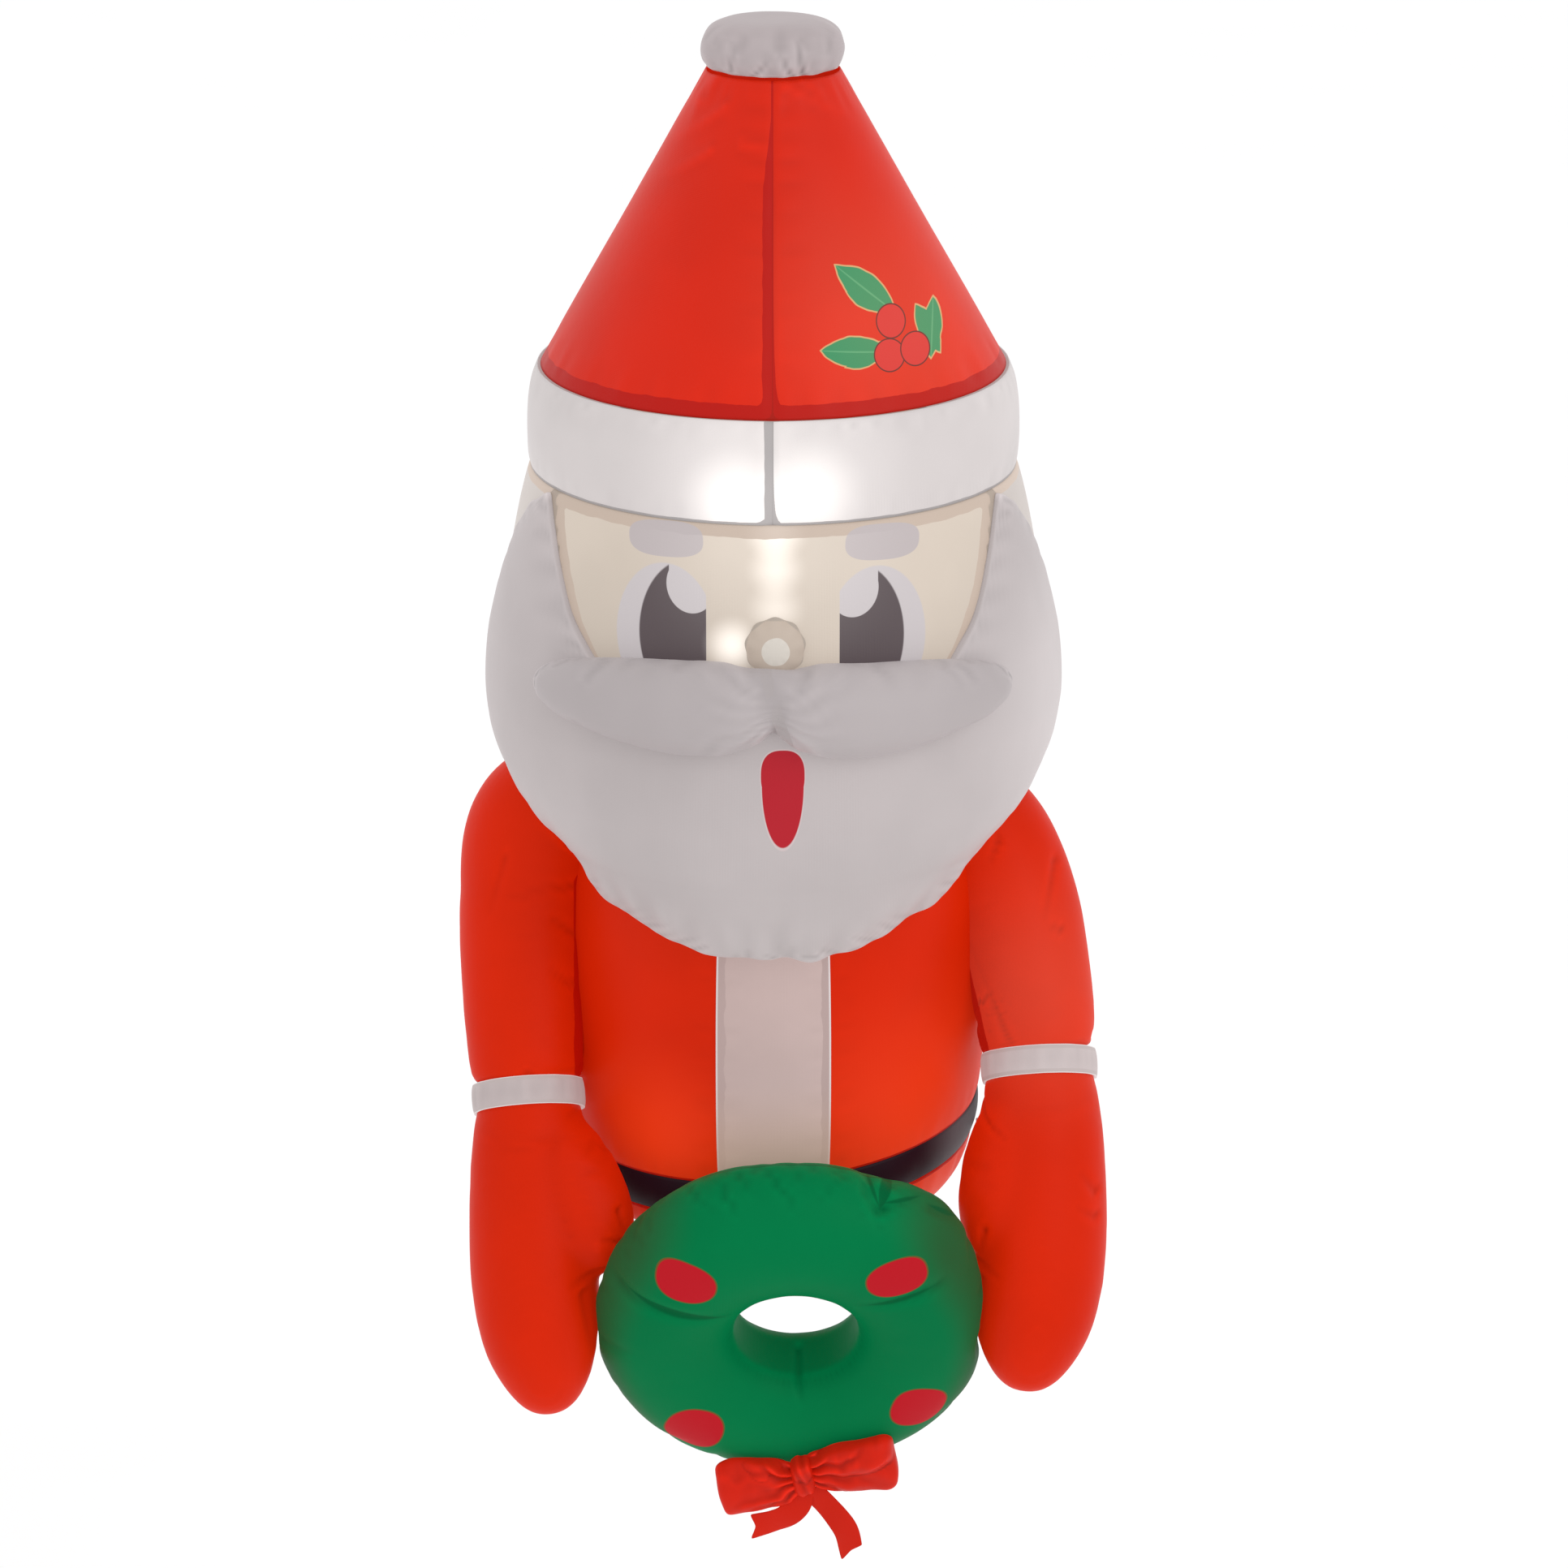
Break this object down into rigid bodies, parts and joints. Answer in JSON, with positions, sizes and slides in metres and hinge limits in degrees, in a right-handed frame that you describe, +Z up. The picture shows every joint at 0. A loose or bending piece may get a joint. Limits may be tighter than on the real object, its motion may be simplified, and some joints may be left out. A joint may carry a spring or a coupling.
{
  "type": "window-hung inflatable santa",
  "caption": "Lit inflatable Santa of sewn polyester that leans out of a window and holds a green wreath with a bow.",
  "frame": {"origin": "centre of the flat underside of the window neck, which rests on the sill", "axes": "+Z up, the figure faces -Y out of the window, +X to its viewer's right"},
  "size_m": [0.4546, 0.5915, 1.0585],
  "materials": {
    "red_polyester": "smooth woven, slightly glossy, lit from inside",
    "white_polyester": "smooth woven, slightly glossy, lit from inside",
    "beige_polyester": "smooth woven, slightly glossy, lit from inside",
    "green_polyester": "smooth woven, slightly glossy",
    "black_polyester": "smooth woven",
    "bow_polyester": "smooth woven ribbon",
    "black_plastic": "moulded"
  },
  "bodies": {
    "root": {"hat_pompom": "white_polyester", "hat_cone": "red_polyester", "hat_brim": "white_polyester", "head_back": "white_polyester", "face": "beige_polyester", "nose": "beige_polyester", "moustache": "white_polyester", "beard": "white_polyester", "coat": "red_polyester", "coat_placket": "white_polyester", "belt": "black_polyester", "coat_hem": "red_polyester", "sleeve_left": "red_polyester", "sleeve_right": "red_polyester", "cuff_left": "white_polyester", "cuff_right": "white_polyester", "mitt_left": "red_polyester", "mitt_right": "red_polyester", "wreath": "green_polyester", "bow_loop_left": "bow_polyester", "bow_loop_right": "bow_polyester", "bow_knot": "bow_polyester", "bow_tail_left": "bow_polyester", "bow_tail_right": "bow_polyester", "window_neck": "red_polyester", "rear_panel": "red_polyester", "blower_intake": "black_plastic", "intake_guard": "black_plastic", "intake_hub": "black_plastic", "power_inlet": "black_plastic", "tether_left": "white_polyester", "tether_right": "white_polyester"}
  },
  "joints": []
}
